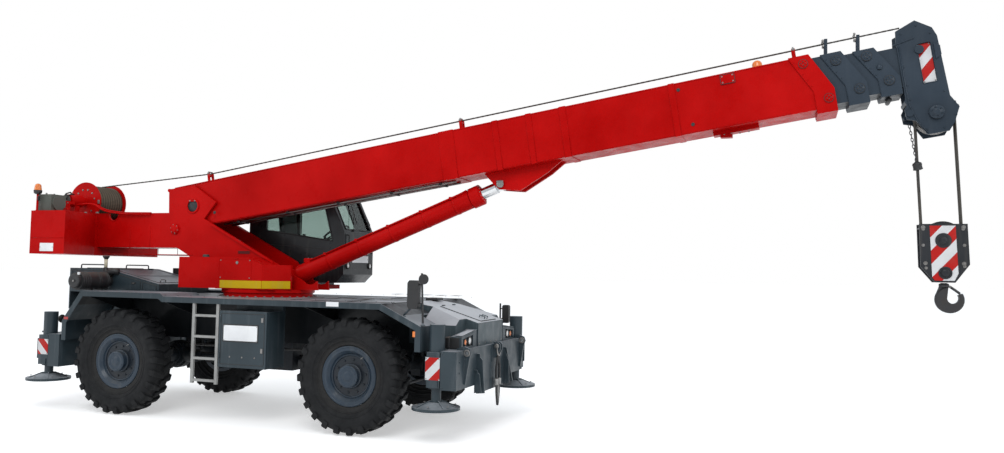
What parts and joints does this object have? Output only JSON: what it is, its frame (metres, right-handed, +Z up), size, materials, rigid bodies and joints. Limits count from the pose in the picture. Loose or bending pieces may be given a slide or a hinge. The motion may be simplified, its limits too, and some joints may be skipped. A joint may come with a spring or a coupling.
{
  "type": "rough-terrain mobile crane",
  "caption": "Self-propelled crane on two steered axles, with a slewing superstructure, side cab, telescopic boom, luffing cylinder, hook block and sliding outriggers.",
  "frame": {"origin": "on the ground under the middle of the crane's overall length and width", "axes": "+X forward along the parked boom, +Y left, +Z up"},
  "size_m": [11.9844, 2.81, 4.6971],
  "materials": {
    "carrier_paint": "satin",
    "axle_paint": "satin",
    "cast_iron": "rough",
    "black_plastic": "matte",
    "lamp_lens": "gloss",
    "bare_steel": "satin",
    "crane_red": "gloss",
    "cooler_paint": "satin",
    "orange_lens": "gloss",
    "cab_paint": "satin",
    "cab_glass": "gloss",
    "seat_fabric": "woven",
    "boom_grey": "satin",
    "chrome_rod": "polished",
    "block_paint": "satin",
    "rope_steel": "greased",
    "hook_iron": "rough",
    "rim_paint": "satin",
    "tyre": "matte"
  },
  "bodies": {
    "carrier": {"chassis_frame": "carrier_paint", "deck": "carrier_paint", "outrigger_boxes": "carrier_paint", "engine_hood": "carrier_paint", "engine_block": "cast_iron", "nose_cowl": "carrier_paint", "axles": "axle_paint", "driveline": "axle_paint", "ladders": "carrier_paint", "side_boxes": "carrier_paint", "mirrors": "black_plastic", "lamps": "carrier_paint", "air_cleaner": "black_plastic", "slew_ring": "crane_red"},
    "superstructure": {"turntable_frame": "crane_red", "oil_tank": "crane_red", "counterweight": "crane_red", "winch": "crane_red", "hydraulic_unit": "crane_red", "oil_cooler": "cooler_paint", "beacon": "orange_lens", "cab_shell": "cab_paint", "cab_glass": "cab_glass", "seat": "seat_fabric", "cab_controls": "black_plastic"},
    "cab_door": {"cab_door": "cab_paint", "door_glass": "cab_glass"},
    "nose_hatch": {"nose_hatch": "carrier_paint"},
    "boom_base": {"boom_base": "crane_red"},
    "boom_section_2": {"boom_section_2": "boom_grey"},
    "boom_section_3": {"boom_section_3": "boom_grey"},
    "boom_head": {"boom_head": "boom_grey", "head_sheaves": "bare_steel"},
    "luff_barrel": {"luff_barrel": "crane_red"},
    "luff_rod": {"luff_rod": "chrome_rod"},
    "hook_block": {"hook_block": "block_paint", "hook_falls": "rope_steel"},
    "hook": {"hook": "hook_iron"},
    "tie_rod_front": {"tie_rod_front": "axle_paint"},
    "tie_rod_rear": {"tie_rod_rear": "axle_paint"},
    "knuckle_front_right": {"knuckle_front_right": "axle_paint"},
    "wheel_front_right": {"rim_front_right": "rim_paint", "tyre_front_right": "tyre"},
    "beam_front_right": {"beam_front_right": "carrier_paint"},
    "jack_front_right": {"jack_front_right": "carrier_paint"},
    "knuckle_front_left": {"knuckle_front_left": "axle_paint"},
    "wheel_front_left": {"rim_front_left": "rim_paint", "tyre_front_left": "tyre"},
    "beam_front_left": {"beam_front_left": "carrier_paint"},
    "jack_front_left": {"jack_front_left": "carrier_paint"},
    "knuckle_rear_right": {"knuckle_rear_right": "axle_paint"},
    "wheel_rear_right": {"rim_rear_right": "rim_paint", "tyre_rear_right": "tyre"},
    "beam_rear_right": {"beam_rear_right": "carrier_paint"},
    "jack_rear_right": {"jack_rear_right": "carrier_paint"},
    "knuckle_rear_left": {"knuckle_rear_left": "axle_paint"},
    "wheel_rear_left": {"rim_rear_left": "rim_paint", "tyre_rear_left": "tyre"},
    "beam_rear_left": {"beam_rear_left": "carrier_paint"},
    "jack_rear_left": {"jack_rear_left": "carrier_paint"}
  },
  "joints": [
    {"name": "slew", "type": "hinge", "parent": "carrier", "child": "superstructure", "pos_m": [-2.59725, 0, 1.605], "axis": [0, 0, 1], "continuous": true},
    {"name": "boom_luff", "type": "hinge", "parent": "superstructure", "child": "boom_base", "pos_m": [-3.69725, 0, 2.79], "axis": [0, -1, 0], "range_deg": [-3.5, 61.2]},
    {"name": "luff_barrel_tilt", "type": "hinge", "parent": "superstructure", "child": "luff_barrel", "pos_m": [-2.18725, 0, 1.826], "axis": [0, -1, 0], "range_deg": [-3.7, 63.09]},
    {"name": "luff_rod_slide", "type": "slide", "parent": "luff_barrel", "child": "luff_rod", "axis": [0.9281, 0, 0.3724], "range_m": [-0.1091, 1.8245]},
    {"name": "telescope", "type": "slide", "parent": "boom_base", "child": "boom_section_2", "axis": [0.9882, 0, 0.153], "range_m": [0, 6.6]},
    {"name": "telescope_section_3", "type": "slide", "parent": "boom_section_2", "child": "boom_section_3", "axis": [0.9882, 0, 0.153], "range_m": [0, 6.6]},
    {"name": "telescope_head", "type": "slide", "parent": "boom_section_3", "child": "boom_head", "axis": [0.9882, 0, 0.153], "range_m": [0, 6.6]},
    {"name": "hook_swing", "type": "hinge", "parent": "boom_head", "child": "hook_block", "pos_m": [5.68725, 0, 3.69839], "axis": [0, 1, 0], "range_deg": [-3.5, 61.2]},
    {"name": "hook_swivel", "type": "hinge", "parent": "hook_block", "child": "hook", "pos_m": [5.74725, 0, 1.90039], "axis": [0, 0, 1], "continuous": true},
    {"name": "steer_front_right", "type": "hinge", "parent": "carrier", "child": "knuckle_front_right", "pos_m": [-0.65225, -0.84, 0.685], "axis": [0, 0, 1], "range_deg": [-28, 28]},
    {"name": "steer_front_left", "type": "hinge", "parent": "carrier", "child": "knuckle_front_left", "pos_m": [-0.65225, 0.84, 0.685], "axis": [0, 0, 1], "range_deg": [-28, 28]},
    {"name": "tie_rod_front", "type": "hinge", "parent": "knuckle_front_right", "child": "tie_rod_front", "pos_m": [-0.35225, -0.84, 0.535], "axis": [0, 0, 1], "range_deg": [-28, 28]},
    {"name": "steer_rear_right", "type": "hinge", "parent": "carrier", "child": "knuckle_rear_right", "pos_m": [-4.08225, -0.84, 0.685], "axis": [0, 0, 1], "range_deg": [-28, 28]},
    {"name": "steer_rear_left", "type": "hinge", "parent": "carrier", "child": "knuckle_rear_left", "pos_m": [-4.08225, 0.84, 0.685], "axis": [0, 0, 1], "range_deg": [-28, 28]},
    {"name": "tie_rod_rear", "type": "hinge", "parent": "knuckle_rear_right", "child": "tie_rod_rear", "pos_m": [-4.38225, -0.84, 0.535], "axis": [0, 0, 1], "range_deg": [-28, 28]},
    {"name": "wheel_front_right", "type": "hinge", "parent": "knuckle_front_right", "child": "wheel_front_right", "pos_m": [-0.65225, -1.045, 0.685], "axis": [0, 1, 0], "continuous": true},
    {"name": "wheel_front_left", "type": "hinge", "parent": "knuckle_front_left", "child": "wheel_front_left", "pos_m": [-0.65225, 1.045, 0.685], "axis": [0, 1, 0], "continuous": true},
    {"name": "wheel_rear_right", "type": "hinge", "parent": "knuckle_rear_right", "child": "wheel_rear_right", "pos_m": [-4.08225, -1.045, 0.685], "axis": [0, 1, 0], "continuous": true},
    {"name": "wheel_rear_left", "type": "hinge", "parent": "knuckle_rear_left", "child": "wheel_rear_left", "pos_m": [-4.08225, 1.045, 0.685], "axis": [0, 1, 0], "continuous": true},
    {"name": "outrigger_front_right", "type": "slide", "parent": "carrier", "child": "beam_front_right", "axis": [0, -1, 0], "range_m": [0, 1.75]},
    {"name": "jack_front_right", "type": "slide", "parent": "beam_front_right", "child": "jack_front_right", "axis": [0, 0, -1], "range_m": [0, 0.45]},
    {"name": "outrigger_front_left", "type": "slide", "parent": "carrier", "child": "beam_front_left", "axis": [0, 1, 0], "range_m": [0, 1.75]},
    {"name": "jack_front_left", "type": "slide", "parent": "beam_front_left", "child": "jack_front_left", "axis": [0, 0, -1], "range_m": [0, 0.45]},
    {"name": "outrigger_rear_right", "type": "slide", "parent": "carrier", "child": "beam_rear_right", "axis": [0, -1, 0], "range_m": [0, 1.75]},
    {"name": "jack_rear_right", "type": "slide", "parent": "beam_rear_right", "child": "jack_rear_right", "axis": [0, 0, -1], "range_m": [0, 0.45]},
    {"name": "outrigger_rear_left", "type": "slide", "parent": "carrier", "child": "beam_rear_left", "axis": [0, 1, 0], "range_m": [0, 1.75]},
    {"name": "jack_rear_left", "type": "slide", "parent": "beam_rear_left", "child": "jack_rear_left", "axis": [0, 0, -1], "range_m": [0, 0.45]},
    {"name": "cab_door", "type": "hinge", "parent": "superstructure", "child": "cab_door", "pos_m": [-2.98725, 1.223, 1.745], "axis": [0, 0, 1], "range_deg": [0, 85]},
    {"name": "nose_hatch", "type": "hinge", "parent": "carrier", "child": "nose_hatch", "pos_m": [0.11392, 0, 1.50091], "axis": [0, -1, 0], "range_deg": [0, 75]}
  ],
  "couplings": [
    {"joint": "luff_barrel_tilt", "follows": "boom_luff", "ratio": 1.0293},
    {"joint": "luff_rod_slide", "follows": "boom_luff", "m_per_rad": 1.7034},
    {"joint": "telescope_section_3", "follows": "telescope", "ratio": 1},
    {"joint": "telescope_head", "follows": "telescope", "ratio": 1},
    {"joint": "steer_front_left", "follows": "steer_front_right", "ratio": 1},
    {"joint": "tie_rod_front", "follows": "steer_front_right", "ratio": -1},
    {"joint": "steer_rear_left", "follows": "steer_rear_right", "ratio": 1},
    {"joint": "tie_rod_rear", "follows": "steer_rear_right", "ratio": -1}
  ]
}
